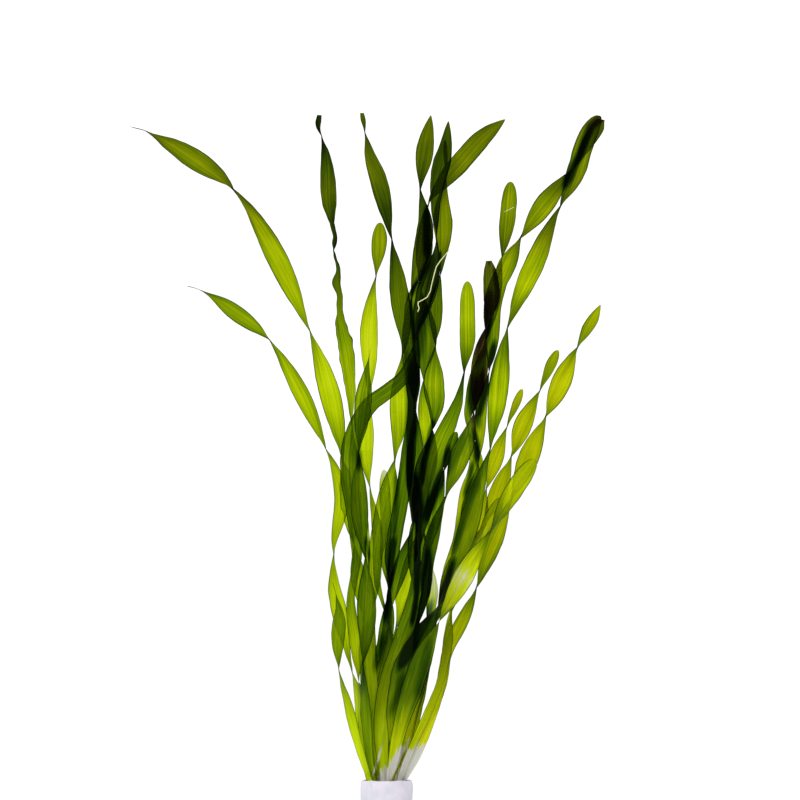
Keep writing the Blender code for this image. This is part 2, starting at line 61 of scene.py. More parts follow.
LEAF_THICKNESS = 0.0005
LEAF_GAP = 0.0008         # clear space wanted between two leaves
LEAN_ROOM = 0.0006        # more of it for a leaf that leans over by 45 degrees
FOOT_TURN = 0.18          # half turns by which the outer feet face outward
ASIDE = 0.005             # a foot this far from the axis is an outer one
MIDDLE_RANK = 0.48        # the rank that stands over the sleeve's axis
OUTER_RANK = 0.30         # and how far from it a rank is an outer one
QUARTER = 50              # map steps that a flat foot takes to turn edge-on
TIP_QUARTER = 40          # and that a tip takes to turn from edge-on to flat
LEVEL = 0.003             # spacing of the levels where leaves are kept apart
CHECKS = 8                # places across an overlap where two leaves are compared
BUNCH_RADIUS = 0.0080     # leaves keep inside this at the sleeve's mouth
ROUNDS = 420              # passes of smoothing and pushing apart
SETTLE_ROUNDS = 160       # the last ones only push
SMOOTHING = 0.3           # how far a pass evens out a leaf's course
PULL = 0.02               # and how far it draws the leaf to its place in the fan
SPREAD_FOOT = 0.011       # depth of the bunch at the sleeve's mouth
SPREAD_TOP = 0.120        # and at the top of the tallest leaf

# Up from the sleeve's mouth: share of a blade's width, and space between leaves.
PACKED = ((-0.012, 0.36), (0.0, 0.42), (0.016, 0.72), (0.036, 1.0))
GAPS = ((0.0, 0.00035), (0.010, 0.0005), (0.030, LEAF_GAP))

# The leaf map: x runs right and y runs down, as seen from the front.
# rank: 0 is the front of the bunch and 1 is the back
# edge_on: heights where the leaf is seen edge-on, half a turn apart
# flat: stretches in which it stays flat, from and to
# tip: the shape of its end, round where none is told
# width: one number, or "y width" pairs from the tip down
# route: "x y" pairs up the middle of the leaf, foot first
LEAVES = {
    "leaf_01": {
        "rank": 0.04, "tip": "point", "edge_on": (668, 590), "width": 14,
        "route": """378 811, 370 782, 363 760, 357 740, 352 720, 347 700, 342 683, 339 668,
          338 640, 340 612, 337 596, 333 581""",
    },
    "leaf_02": {
        "rank": 0.82, "tip": "point", "edge_on": (620, 545, 461, 330, 187, 128),
        "width": "123 21, 461 21, 500 16",
        "route": """379 811, 373 782, 370 745, 368 700, 366 650, 363 610, 358 575, 355 550,
          351 525, 347 495, 342 461, 336 425, 327 385, 309 330, 270 246, 231 187, 187 153, 143 128,
          125 123""",
    },
    "leaf_03": {
        "rank": 0.46, "tip": "point", "edge_on": (672, 554, 449, 339, 290),
        "width": "286 16, 440 16, 500 14, 555 15, 605 16, 640 12, 660 11, 690 17, 740 18",
        "route": """376 811, 370 782, 365 740, 361 705, 357 690, 352 672, 348 655, 345 640,
          341 622, 338 605, 335 590, 334 575, 334 554, 335 540, 338 525, 341 508, 341 495, 338 480,
          333 465, 325 447, 298 387, 268 338, 233 311, 200 290, 187 286""",
    },
    "leaf_04": {
        "rank": 0.18, "tip": "point", "edge_on": (680, 345, 238), "flat": ((635, 390),),
        "width": """124 20, 175 17, 205 10, 240 11, 262 16, 285 20, 345 18, 380 14, 400 16, 430 17,
          480 19, 540 12, 570 8, 597 8, 620 11, 650 14, 700 17""",
        "route": """381 811, 374 782, 366 740, 361 705, 359 680, 358 664, 356 642, 352 615,
          351 597, 354 578, 357 558, 356 535, 353 500, 350 475, 350 452, 353 437, 360 420, 371 404,
          388 391, 403 378, 411 362, 416 335, 427 290, 435 258, 436 236, 435 210, 438 180, 445 150,
          448 124""",
    },
    "leaf_05": {
        "rank": 0.26, "tip": "cut", "edge_on": (608, 460, 356, 240, 134), "flat": ((560, 495),),
        "width": """115 9, 140 17, 270 18, 320 20, 460 18, 480 18, 505 18, 540 16, 560 14, 620 13,
          700 14""",
        "route": """386 811, 380 782, 376 745, 373 715, 371 685, 369 655, 371 630, 373 606,
          375 585, 375 560, 379 535, 385 505, 391 482, 395 460, 399 430, 399 400, 400 372, 402 356,
          404 338, 400 300, 396 265, 392 240, 386 210, 378 180, 370 158, 365 134, 362 115""",
    },
    "leaf_06": {
        "rank": 0.1, "tip": "point", "edge_on": (664, 557, 452, 352),
        "width": "346 12, 400 17, 500 17, 590 20, 650 18, 700 15",
        "route": """384 811, 374 782, 370 760, 367 730, 365 700, 363 664, 366 630, 367 600,
          367 575, 366 557, 361 520, 359 490, 359 452, 361 425, 365 390, 371 346""",
    },
    "leaf_07": {
        "rank": 0.58, "edge_on": (622, 487, 398, 276),
        "width": """222 16, 276 17, 320 18, 400 17, 490 14, 525 13, 560 9, 580 8, 600 8, 640 12,
          700 18""",
        "route": """389 811, 384 782, 381 745, 383 700, 388 665, 390 640, 388 622, 384 608,
          380 595, 377 580, 377 560, 378 542, 376 520, 370 487, 366 450, 367 410, 369 370, 369 330,
          372 300, 376 276, 379 248, 380 222""",
    },
    "leaf_08": {
        "rank": 0.7, "tip": "cut", "edge_on": (575, 427, 250, 134),
        "width": """113 10, 150 19, 170 17, 190 16, 205 15, 215 10, 222 7, 233 11, 250 12, 266 14,
          281 17, 292 9, 300 7, 315 9, 330 13, 350 16, 500 17, 580 13""",
        "route": """390 811, 385 782, 380 745, 375 700, 370 650, 368 610, 368 568, 364 540,
          359 510, 356 470, 352 427, 351 395, 347 355, 342 330, 339 312, 339 295, 336 282, 337 268,
          333 250, 334 234, 331 220, 329 205, 328 188, 327 168, 325 150, 321 134, 318 124,
          319 113""",
    },
    "leaf_09": {
        "rank": 0.62, "tip": "slim", "edge_on": (635, 528, 405, 297, 188),
        "width": "114 18, 560 18, 582 14, 600 10, 622 9, 645 13, 700 18",
        "route": """388 811, 384 782, 381 745, 379 705, 382 670, 387 635, 389 605, 396 582,
          404 560, 413 528, 415 490, 415 450, 414 410, 412 370, 410 330, 412 297, 420 262, 425 225,
          420 188, 424 155, 431 114""",
    },
    "leaf_10": {
        "rank": 0.5, "edge_on": (600, 508, 430, 345, 275, 175),
        "width": "140 6, 168 7, 185 14, 220 20, 260 14, 340 14, 370 21",
        "route": """388 811, 389 782, 389 745, 391 710, 396 680, 404 655, 411 630, 416 600,
          418 560, 418 520, 423 482, 429 452, 432 430, 435 405, 434 385, 435 360, 436 332, 436 300,
          440 275, 442 255, 443 235, 443 205, 446 180, 446 160, 445 140""",
    },
    "leaf_11": {
        "rank": 0.74, "tip": "slim", "edge_on": (627, 535, 456, 380, 290, 202),
        "width": "117 19, 165 20, 200 17, 290 17, 330 23, 355 22, 380 16, 400 14, 440 15, 480 17",
        "route": """391 811, 392 782, 389 745, 386 710, 388 680, 391 655, 396 627, 401 602,
          408 580, 414 550, 419 520, 421 490, 425 456, 426 425, 424 395, 424 372, 426 345, 425 325,
          421 290, 425 240, 429 202, 446 178, 464 157, 483 136, 506 117""",
    },
    "leaf_12": {
        "rank": 0.9, "edge_on": (617, 430, 340, 257), "flat": ((568, 478),), "width": 16,
        "route": """396 811, 401 782, 409 745, 416 710, 422 675, 425 657, 429 640, 434 626,
          438 611, 445 590, 450 575, 455 560, 460 545, 463 530, 465 515, 467 500, 470 488, 475 476,
          477 463, 474 446, 469 430, 469 415, 473 400, 479 370, 486 340, 491 310, 497 283, 503 257,
          507 232, 510 205, 512 179""",
    },
    "leaf_13": {
        "rank": 0.62, "tip": "cut", "edge_on": (622, 540, 463, 372, 237, 168),
        "flat": ((335, 272),),
        "width": """118 12, 128 14, 145 15, 205 20, 250 21, 262 20, 280 15, 340 14, 372 13, 400 12,
          430 12, 463 14, 540 18, 700 18""",
        "route": """394 811, 398 782, 405 745, 411 710, 418 680, 424 650, 430 635, 437 620,
          444 602, 450 582, 456 562, 463 535, 470 508, 475 484, 478 463, 479 447, 480 430, 481 415,
          483 400, 487 385, 491 360, 493 330, 495 303, 503 275, 519 240, 544 205, 574 168, 583 152,
          591 138, 598 127, 602 118""",
    },
    "leaf_14": {
        "rank": 0.34, "edge_on": (605, 449, 328, 207),
        "width": "117 17, 150 19, 230 20",
        "route": """392 811, 394 782, 390 745, 391 710, 396 677, 405 657, 415 641, 428 622,
          438 606, 446 587, 455 565, 463 543, 470 520, 476 497, 484 470, 490 449, 494 425, 497 402,
          499 380, 502 355, 507 328, 514 308, 524 285, 536 260, 548 232, 560 207, 570 187, 577 168,
          581 153, 586 139, 592 127, 599 117""",
    },
    "leaf_15": {
        "rank": 0.14, "tip": "cut", "edge_on": (632, 496, 412, 328),
        "width": """262 9, 280 15, 300 18, 370 17, 400 17, 450 20, 520 19, 560 13, 600 12, 640 18,
          700 19""",
        "route": """393 811, 396 782, 396 748, 394 715, 398 685, 404 660, 411 638, 419 615,
          425 592, 427 565, 432 540, 439 516, 446 496, 453 478, 459 458, 466 440, 472 420, 476 392,
          479 368, 482 345, 486 328, 491 302, 490 280, 488 262""",
    },
    "leaf_16": {
        "rank": 0.22, "edge_on": (552, 373),
        "width": "282 14, 340 16, 400 20, 560 20, 595 15, 625 17, 700 20",
        "route": """387 811, 385 782, 382 748, 382 722, 386 695, 392 670, 401 643, 409 618,
          416 590, 418 560, 421 530, 426 505, 430 482, 435 460, 442 440, 451 420, 459 400, 464 373,
          467 345, 467 315, 467 282""",
    },
    "leaf_17": {
        "rank": 0.38, "tip": "slim", "edge_on": (588, 500, 417, 348),
        "width": "305 18, 382 20, 440 21, 530 19, 590 17, 635 13, 662 10, 685 10, 705 13, 735 15",
        "route": """396 811, 402 783, 409 770, 415 759, 421 744, 428 724, 435 703, 441 684,
          444 667, 448 650, 456 633, 466 612, 476 588, 487 557, 498 530, 509 505, 521 478, 533 445,
          545 417, 561 382, 577 348, 592 321, 600 305""",
    },
    "leaf_18": {
        "rank": 0.54, "edge_on": (605, 525, 457, 391),
        "width": "350 12, 391 15, 430 19, 480 17, 560 17, 640 11, 662 9, 690 10, 715 13",
        "route": """395 811, 401 782, 413 750, 424 725, 434 705, 442 684, 446 660, 448 635,
          451 608, 459 583, 468 560, 480 535, 491 510, 500 487, 511 457, 524 423, 540 391, 550 368,
          558 350""",
    },
    "leaf_19": {
        "rank": 0.42, "edge_on": (620, 555, 489, 427),
        "width": "389 10, 427 12, 455 15, 600 13, 700 12",
        "route": """396 811, 401 782, 406 745, 411 715, 417 690, 423 665, 429 640, 437 618,
          446 597, 457 578, 467 560, 474 540, 481 515, 486 489, 497 455, 507 427, 515 407,
          522 389""",
    },
    "leaf_20": {
        "rank": 0.08, "edge_on": (612, 549),
        "width": "497 14, 600 13, 640 10, 665 9, 690 9, 720 12",
        "route": """395 811, 399 782, 410 752, 421 728, 432 703, 440 682, 445 660, 448 638,
          450 618, 454 598, 461 575, 470 549, 482 533, 492 515, 500 497""",
    },
    "leaf_21": {
        "rank": 0.0, "edge_on": (621, 530),
        "width": "459 18, 500 18, 570 20, 640 20, 690 22, 740 18",
        "route": """390 811, 390 782, 396 745, 402 720, 409 697, 417 672, 427 645, 439 621,
          448 603, 462 578, 477 552, 491 530, 500 513, 510 495, 522 476, 534 459""",
    },
    "leaf_22": {
        "rank": 0.86, "edge_on": (590,), "width": 11,
        "route": """389 811, 388 782, 386 745, 385 700, 384 665, 387 625, 388 590, 385 560,
          386 530, 385 500, 384 470""",
    },
    "leaf_23": {
        "rank": 0.96, "edge_on": (640, 560, 471),
        "width": "430 12, 480 18, 530 18, 570 12, 600 11, 620 9",
        "route": """395 811, 398 782, 404 742, 410 710, 416 680, 424 648, 430 615, 433 590,
          431 568, 429 548, 432 524, 436 502, 440 485, 444 471, 450 450, 457 432""",
    },
    "leaf_24": {
        "rank": 0.8, "edge_on": (590,),
        "width": "280 12, 305 16, 385 15, 403 9, 420 9, 450 15",
        "route": """384 811, 380 782, 376 745, 374 705, 378 670, 385 640, 389 600, 391 562,
          395 535, 400 508, 405 480, 409 450, 412 412, 413 385, 412 355, 411 330, 413 305,
          418 280""",
    },
}


def pairs(text):
    """Pairs of numbers, from a text such as "1 2, 3 4"."""
    return [tuple(float(part) for part in pair.split()) for pair in text.split(",")]


def map_x(x):
    return (x - AXIS_X) * STEP


def map_z(y):
    return SLEEVE_HEIGHT + (MOUTH_Y - y) * STEP


def step_between(table, at):
    """Straight-line value at a place, from (place, value) pairs in rising order."""
    if at <= table[0][0]:
        return table[0][1]
    for (p0, v0), (p1, v1) in zip(table, table[1:]):
        if at <= p1:
            return v0 + (v1 - v0) * (at - p0) / (p1 - p0)
    return table[-1][1]


def curve_between(table, at):
    """Smooth value at a place, through every (place, value) pair."""
    last = len(table) - 1
    at = min(max(at, table[0][0]), table[last][0])
    i = 0
    while i < last - 1 and at > table[i + 1][0]:
        i += 1

    def slope(j):
        a = max(j - 1, 0)
        b = min(j + 1, last)
        return (table[b][1] - table[a][1]) / (table[b][0] - table[a][0])

    p0, v0 = table[i]
    p1, v1 = table[i + 1]
    span = p1 - p0
    t = (at - p0) / span
    h00 = (1 + 2 * t) * (1 - t) ** 2
    h10 = t * (1 - t) ** 2
    h01 = t * t * (3 - 2 * t)
    h11 = t * t * (t - 1)
    return h00 * v0 + h10 * span * slope(i) + h01 * v1 + h11 * span * slope(i + 1)


class Leaf:
    """One leaf's course: everything is a function of the height z."""

    def __init__(self, name, data):
        self.name = name
        self.rank = data["rank"]
        self.tip = data.get("tip", "round")
        self.route = [(map_z(y), map_x(x)) for x, y in pairs(data["route"])]
        self.foot = self.route[0][0]
        self.top = self.route[-1][0]
        self.turns = self.turn_pairs(data, self.foot_turn())
        self.widths = self.width_pairs(data["width"])
        self.depths = []

    def foot_turn(self):
        """The foot faces outward from the bunch: its turn depends on its quarter."""
        aside = max(-1.0, min(1.0, self.route[1][1] / ASIDE))
        back = max(-1.0, min(1.0, (self.rank - MIDDLE_RANK) / OUTER_RANK))
        return FOOT_TURN * aside * back

    def turn_pairs(self, data, foot_turn):
        """Half turns against height: 0 is flat, 0.5 is edge-on."""
        heights = [map_z(y) for y in data["edge_on"]]
        flat_until = max(self.foot + 0.001, heights[0] - QUARTER * STEP)
        turns = [(self.foot, foot_turn), (flat_until, foot_turn)]
        turns += [(z, 0.5 + i) for i, z in enumerate(heights)]
        end = len(heights)
        over = self.top - heights[-1]
        turns.append((heights[-1] + min(over, TIP_QUARTER * STEP) + 0.0001,
                      end - 0.5 + 0.5 * min(1.0, over / (TIP_QUARTER * STEP))))
        for span in data.get("flat", ()):
            below = len([z for z in heights if z < map_z(span[0])])
            turns += [(map_z(y), below) for y in span]
        return sorted(turns)

    def width_pairs(self, width):
        if not isinstance(width, str):
            return [(0.0, width * STEP)]
        return [(map_z(y), w * STEP) for y, w in reversed(pairs(width))]

    def x(self, z):
        return curve_between(self.route, z)

    def depth(self, z):
        return curve_between(self.depths, z)

    def angle(self, z):
        return math.pi * step_between(self.turns, z)

    def width(self, z):
        """Blade width, narrower where the foot is packed in the sleeve."""
        return step_between(self.widths, z) * step_between(PACKED, z - SLEEVE_HEIGHT)

    def slant(self, z):
        step = 0.001
        return (self.x(z + step) - self.x(z - step)) / (2 * step)


def levels_of(leaf):
    first = math.ceil(leaf.foot / LEVEL)
    last = math.floor(leaf.top / LEVEL)
    return range(first, last + 1)


def section_at(leaf, z):
    """Level cut through a leaf, as (x, depth offset) points across the blade."""
    points = []
    for share in (-1.0, -0.5, 0.0, 0.5, 1.0):
        off = share * leaf.width(z) / 2
        angle = leaf.angle(z)
        lean = leaf.slant(z)
        level = 1 / math.sqrt(1 + lean * lean)
        source = z + off * math.cos(angle) * lean * level
        source = min(max(source, leaf.foot), leaf.top)
        angle = leaf.angle(source)
        x = leaf.x(source) + off * math.cos(angle) * level
        points.append((x, -off * math.sin(angle)))
    return points


def reach_at(points, x, margin, side):
    """Furthest depth offset of a cut at x: side is +1 for its back, -1 for its front."""
    best = None
    for (xa, da), (xb, db) in zip(points, points[1:]):
        if xa > xb:
            xa, da, xb, db = xb, db, xa, da
        if x < xa - margin or x > xb + margin:
            continue
        t = (x - xa) / max(xb - xa, 0.00005)
        t0 = min(1.0, max(0.0, t - margin / max(xb - xa, 0.00005)))
        t1 = min(1.0, max(0.0, t + margin / max(xb - xa, 0.00005)))
        for share in (t0, t1):
            value = side * (da + (db - da) * share)
            if best is None or value > best:
                best = value
    return best


def gap_at(z):
    """Clear space between leaves: small where they are packed in the sleeve."""
    return step_between(GAPS, z - SLEEVE_HEIGHT)


def needed_depth(front, back, gap):
    """How far the second cut must lie behind the first, or None if they pass clear."""
    margin = (LEAF_THICKNESS + gap) / 2
    low = max(min(p[0] for p in front), min(p[0] for p in back)) - margin
    high = min(max(p[0] for p in front), max(p[0] for p in back)) + margin
    if low > high:
        return None
    most = None
    for i in range(CHECKS + 1):
        x = low + (high - low) * i / CHECKS
        over = reach_at(front, x, margin, 1)
        under = reach_at(back, x, margin, -1)
        if over is None or under is None:
            continue
        if most is None or over + under > most:
            most = over + under
    if most is None:
        return None
    return most + LEAF_THICKNESS + gap


def spread_apart(leaves):
    """Choose every leaf's depth so that the bunch fans out and no leaves meet."""
    top = max(leaf.top for leaf in leaves)
    order = sorted(leaves, key=lambda leaf: leaf.rank)
    depth = {}
    target = {}
    cuts = {}
    for leaf in order:
        for level in levels_of(leaf):
            z = level * LEVEL
            up = max(0.0, (z - SLEEVE_HEIGHT) / (top - SLEEVE_HEIGHT))
            fan = SPREAD_FOOT + (SPREAD_TOP - SPREAD_FOOT) * up
            target[leaf.name, level] = (leaf.rank - MIDDLE_RANK) * fan
            depth[leaf.name, level] = target[leaf.name, level]
            cuts[leaf.name, level] = section_at(leaf, z)

    meetings = []
    for i, front in enumerate(order):
        for back in order[i + 1:]:
            for level in levels_of(front):
                if (back.name, level) not in cuts:
                    continue
                gap = gap_at(level * LEVEL)
                need = needed_depth(cuts[front.name, level], cuts[back.name, level], gap)
                if need is not None:
                    lean = max(abs(front.slant(level * LEVEL)), abs(back.slant(level * LEVEL)))
                    need += LEAN_ROOM * lean
                    meetings.append(((front.name, level), (back.name, level), need))

    for turn in range(ROUNDS):
        if turn < ROUNDS - SETTLE_ROUNDS:
            for leaf in order:
                run = levels_of(leaf)
                smooth = {}
                for level in run:
                    here = depth[leaf.name, level]
                    below = depth.get((leaf.name, level - 1), here)
                    above = depth.get((leaf.name, level + 1), here)
                    pull = target[leaf.name, level] - here
                    smooth[level] = here + SMOOTHING * (below + above - 2 * here) + PULL * pull
                for level in run:
                    depth[leaf.name, level] = smooth[level]
        for one, two, need in meetings:
            short = need - (depth[two] - depth[one])
            if short > 0:
                depth[one] -= 0.5 * short
                depth[two] += 0.5 * short
        for key, points in cuts.items():
            if key[1] * LEVEL < SLEEVE_HEIGHT + LEVEL:
                side = min(max(abs(point[0]) for point in points), 0.95 * BUNCH_RADIUS)
                room = math.sqrt(BUNCH_RADIUS ** 2 - side ** 2)
                depth[key] = max(-room, min(room, depth[key]))

    for leaf in order:
        leaf.depths = [(level * LEVEL, depth[leaf.name, level]) for level in levels_of(leaf)]


def point_on(leaf, z):
    return Vector((leaf.x(z), leaf.depth(z), z))


def sleeve_radius(z):
    """The foam is wrapped over the roots and narrows to the leaves above them."""
    up = min(1.0, max(0.0, (z - NARROW_FROM) / NARROW_OVER))
    return ROOT_RADIUS + (SLEEVE_RADIUS - ROOT_RADIUS) * up * up * (3 - 2 * up)


def bore_radius(z, wall):
    return sleeve_radius(z) - SEAM_STEP / 2 - wall


# How each blade looks, as "y value" pairs from its tip down.
# tone: 0 is bright yellow-green and 1 is nearly black
# pale and brown: how white, and how dry or rotten, it is
# clear: the largest share of light that passes straight through
# wavy: how ragged the margins are
# warm: how olive it is at least
LOOKS = {
    "leaf_01": {
        "tone": "581 .42, 640 .44, 700 .34, 748 .2",
        "clear": "580 .6, 640 .55, 700 .4",
    },
    "leaf_02": {
        "tone": """123 .52, 187 .54, 247 .38, 330 .3, 385 .22, 460 .42, 510 .24, 560 .4, 650 .42,
          720 .26""",
        "wavy": "500 0, 515 .8, 536 .8, 545 0",
    },
    "leaf_03": {
        "tone": "286 .48, 339 .4, 388 .32, 440 .34, 480 .26, 560 .28, 620 .24, 655 .35, 720 .24",
    },
    "leaf_04": {
        "tone": """124 .78, 150 .82, 256 .72, 385 .6, 440 .54, 465 .5, 525 .56, 560 .52, 600 .48,
          640 .3, 720 .24""",
        "clear": "350 .8, 420 .65, 640 .55",
    },
    "leaf_05": {
        "tone": """113 .66, 170 .58, 210 .8, 300 .62, 340 .56, 400 .25, 430 .38, 505 .34, 560 .38,
          600 .42, 640 .24, 720 .2""",
    },
    "leaf_06": {
        "tone": """346 .42, 390 .44, 425 .52, 480 .46, 530 .52, 580 .5, 640 .52, 664 .6, 700 .5,
          780 .46""",
        "clear": "346 .8, 440 .65, 560 .55, 640 .45",
    },
    "leaf_07": {
        "tone": "222 .48, 250 .46, 276 .44, 300 .28, 340 .18, 440 .22, 560 .36, 630 .5, 700 .26",
    },
    "leaf_08": {
        "tone": """113 .9, 150 .8, 190 .7, 220 .86, 281 .6, 325 .52, 360 .4, 395 .3, 540 .22,
          650 .36, 720 .24""",
        "wavy": "215 0, 228 1, 330 1, 375 .5, 400 0",
    },
    "leaf_09": {
        "tone": """114 .66, 155 .66, 185 .72, 225 .7, 290 .52, 345 .52, 380 .74, 425 .6, 480 .6,
          520 .72, 560 .6, 640 .45, 700 .26""",
    },
    "leaf_10": {
        "tone": """140 .75, 165 .8, 205 .54, 235 .52, 270 .68, 335 .62, 385 .4, 430 .6, 560 .6,
          640 .5, 700 .28""",
    },
    "leaf_11": {
        "tone": """117 .66, 157 .56, 177 .7, 240 .74, 330 .66, 380 .48, 425 .26, 470 .5, 540 .4,
          602 .24, 640 .4, 700 .26""",
    },
    "leaf_12": {
        "tone": """179 .5, 205 .46, 245 .6, 283 .62, 350 .56, 420 .44, 450 .4, 520 .34, 560 .38,
          600 .5, 650 .6, 690 .55, 730 .28""",
        "warm": "0 .23",
    },
    "leaf_13": {
        "tone": """118 .72, 166 .74, 205 .46, 241 .48, 275 .44, 300 .55, 400 .5, 435 .4, 490 .42,
          560 .38, 600 .46, 650 .6, 700 .5, 735 .28""",
        "brown": "115 .9, 124 .3, 150 .1, 175 0",
        "warm": "0 .3",
        "clear": "440 .8, 500 .6, 600 .5",
    },
    "leaf_14": {
        "tone": """117 .62, 160 .54, 180 .56, 225 .62, 260 .42, 285 .3, 308 .46, 345 .5, 380 .34,
          402 .3, 425 .42, 460 .5, 480 .44, 520 .38, 560 .44, 600 .7, 640 .74, 662 .54, 720 .28""",
        "brown": "115 .8, 122 .2, 140 0",
        "clear": "400 .8, 470 .55, 500 .4, 580 .4, 640 .3",
    },
    "leaf_15": {
        "tone": """262 .74, 285 .7, 330 .8, 360 .62, 400 .72, 430 .5, 460 .46, 490 .5, 520 .58,
          540 .6, 562 .72, 580 .86, 628 .92, 645 .74, 662 .6, 700 .5, 725 .34, 745 .28""",
        "brown": "262 .7, 275 .3, 310 .6, 330 .9, 360 .5, 400 .9, 418 .6, 432 0",
        "warm": "0 .19",
        "clear": "410 .8, 422 .5, 490 .5, 520 .8, 625 .6, 655 .22",
    },
    "leaf_16": {
        "tone": """282 .38, 320 .35, 345 .48, 375 .7, 400 .55, 440 .46, 482 .6, 560 .64, 640 .5,
          722 .24""",
        "clear": "280 .8, 440 .7, 560 .55, 640 .4",
    },
    "leaf_17": {
        "tone": """305 .4, 348 .42, 382 .3, 445 .32, 520 .36, 557 .46, 588 .5, 620 .42, 655 .36,
          685 .26, 722 .2""",
        "warm": "0 .38",
    },
    "leaf_18": {
        "tone": "350 .44, 391 .42, 423 .32, 487 .34, 560 .3, 635 .34, 690 .28, 720 .26",
        "warm": "0 .38",
    },
    "leaf_19": {
        "tone": "389 .4, 427 .42, 455 .3, 540 .36, 640 .46, 720 .28",
        "warm": "0 .38",
    },
    "leaf_20": {
        "tone": "497 .36, 549 .26, 598 .3, 640 .32, 700 .3, 730 .28",
        "warm": "0 .23",
        "clear": "497 .45, 540 .5, 580 .6",
    },
    "leaf_21": {
        "tone": """459 .3, 485 .24, 525 .46, 552 .3, 575 .18, 603 .22, 621 .45, 640 .55, 660 .64,
          690 .62, 715 .46, 740 .28""",
        # leaf_21's pale patch is a painted sheen.
        "pale": "555 0, 575 .36, 596 .2, 608 0",
        "warm": "0 .19",
        "clear": "455 .45, 520 .4, 560 .22, 600 .22, 640 .3",
    },
    "leaf_22": {
        "tone": "470 .25, 530 .38, 600 .6, 650 .4, 720 .25",
        "pale": "470 .45, 490 .15, 505 0",
    },
    "leaf_23": {
        "tone": "430 .66, 480 .6, 540 .4, 560 .2, 640 .36, 720 .28",
        "pale": "540 0, 565 .4, 590 .34, 620 .15, 640 0",
    },
    "leaf_24": {
        "tone": """280 .5, 345 .52, 372 .8, 410 .76, 450 .66, 500 .6, 540 .62, 600 .66, 650 .5,
          720 .26""",
    },
}
LOOKS = {leaf: {what: pairs(text) for what, text in look.items()} for leaf, look in LOOKS.items()}


def strokes(*table):
    """Soft strokes, with their courses read into numbers."""
    return [(amount, half, pairs(course)) for amount, half, course in table]


# Painted shade of the bunch: how much darker, half width, course on the leaf map.
# It is painted where blades cross and fold over one another, and fades out at both ends.
PAINTED_SHADES = strokes(
    (0.4, 3.0, "427 216, 427 235, 427 250"),
    (0.34, 2.5, "429 258, 421 276, 412 292"),
    (0.26, 4.0, "431 268, 427 292, 423 318, 420 345"),
    (0.55, 1.3, "440 256, 438 275, 432 295, 426 312, 420 326, 417 336"),
    (0.45, 1.2, "411 302, 412 320, 414 345, 415 360"),
    (0.6, 5.0, "413 378, 413 384"),
    (0.55, 4.5, "413 385, 412 405, 412 425"),
    (0.55, 3.2, "411 430, 410 455, 410 478"),
    (0.6, 5.0, "415 490, 417 505"),
    (0.6, 2.3, "418 515, 418 540, 418 556"),
    (0.5, 2.2, "432 428, 429 442, 424 462, 422 478"),
    (0.65, 3.2, "447 459, 446 466"),
    (0.6, 4.0, "439 482, 434 495, 430 506"),
    (0.25, 3.5, "461 442, 455 456, 451 464"),
    (0.4, 2.2, "495 276, 497 290, 496 300"),
    (0.5, 3.4, "489 304, 489 318, 487 330"),
    (0.45, 4.5, "483 344, 481 350"),
    (0.55, 4.2, "473 391, 473 402, 475 412"),
    (0.6, 3.0, "493 352, 489 372, 484 394, 480 410"),
    (0.6, 2.4, "475 436, 477 446, 477 456"),
    (0.5, 2.2, "472 470, 470 480, 467 490"),
    (0.3, 3.5, "473 490, 469 500, 463 520, 457 540"),
    (0.3, 2.6, "397 480, 396 505, 394 530"),
    (0.45, 2.8, "393 545, 391 562, 389 588, 386 612"),
    (0.6, 2.2, "417 548, 417 575, 416 600, 413 618"),
    (0.16, 3.0, "431 528, 429 545, 428 560"),
    (0.4, 3.0, "428 556, 427 572, 426 595, 423 615"),
    (0.65, 4.2, "425 617, 418 632, 411 646, 406 655"),
    (0.22, 3.0, "401 680, 399 690, 394 704"),
    (0.2, 3.5, "427 650, 423 668, 419 684"),
    (0.5, 2.3, "452 565, 447 580, 442 593"),
    (0.18, 3.0, "362 672, 361 682"),
    (0.35, 3.5, "381 646, 378 658"),
    (0.4, 2.2, "359 458, 359 462"),
    (0.4, 2.0, "367 544, 368 552"),
    (0.55, 3.2, "598 120, 590 128, 584 142, 579 156, 573 168, 569 178"),
)

# Pale margins and brown strips of the old leaf bases, told in the same way.
PALES = strokes(
    (0.55, 1.1, "383 743, 380 752, 377 762, 373 774"),
    (0.5, 0.9, "409 738, 407 745, 404 753"),
)
BROWNS = strokes(
    (0.6, 1.3, "405 753, 400 764, 395 774, 391 783"),
    (0.55, 1.2, "379 764, 377 773, 375 782"),
    (0.4, 1.6, "384 734, 383 742"),
)

# Where the white of the leaf bases begins, from left to right on the leaf map.
BLANCH_LINE = pairs("""366 812, 373 790, 378 772, 385 763, 391 754, 396 745, 402 740, 408 743,
  414 744, 419 739, 428 737""")

FINE_STATION = 0.0009     # distance between a fine blade's sections
ACROSS = 16               # faces across it
TAPER = 0.016             # length of a pointed or slim tip
ROUND_TIP = 0.0105        # and of a round one
CUT_TIP = 0.0030          # and of the narrowing at a torn-off one
CUP = 0.075               # how deep it is cupped, as a share of its width
RAG = 0.035               # how uneven its margins are, as such a share
WAVY_RAG = 0.30           # and what a wavy margin adds
LIFT = 0.00022            # how far its margins leave its plane
WAVY_LIFT = 0.0012        # and what a wavy margin adds
BLANCH_FADE = 14          # map steps that a leaf base takes to turn white
BLANCH_STREAK = 10        # how far its streaks reach up and down
STROKE_REACH = 1.8        # half widths from a stroke's course to where it is gone
STROKE_ENDS = 3           # how many times further it reaches past its ends
# Share of light that passes straight through: less in the thicker bases.
CLEAR = ((600, 0.80), (680, 0.40), (730, 0.20))
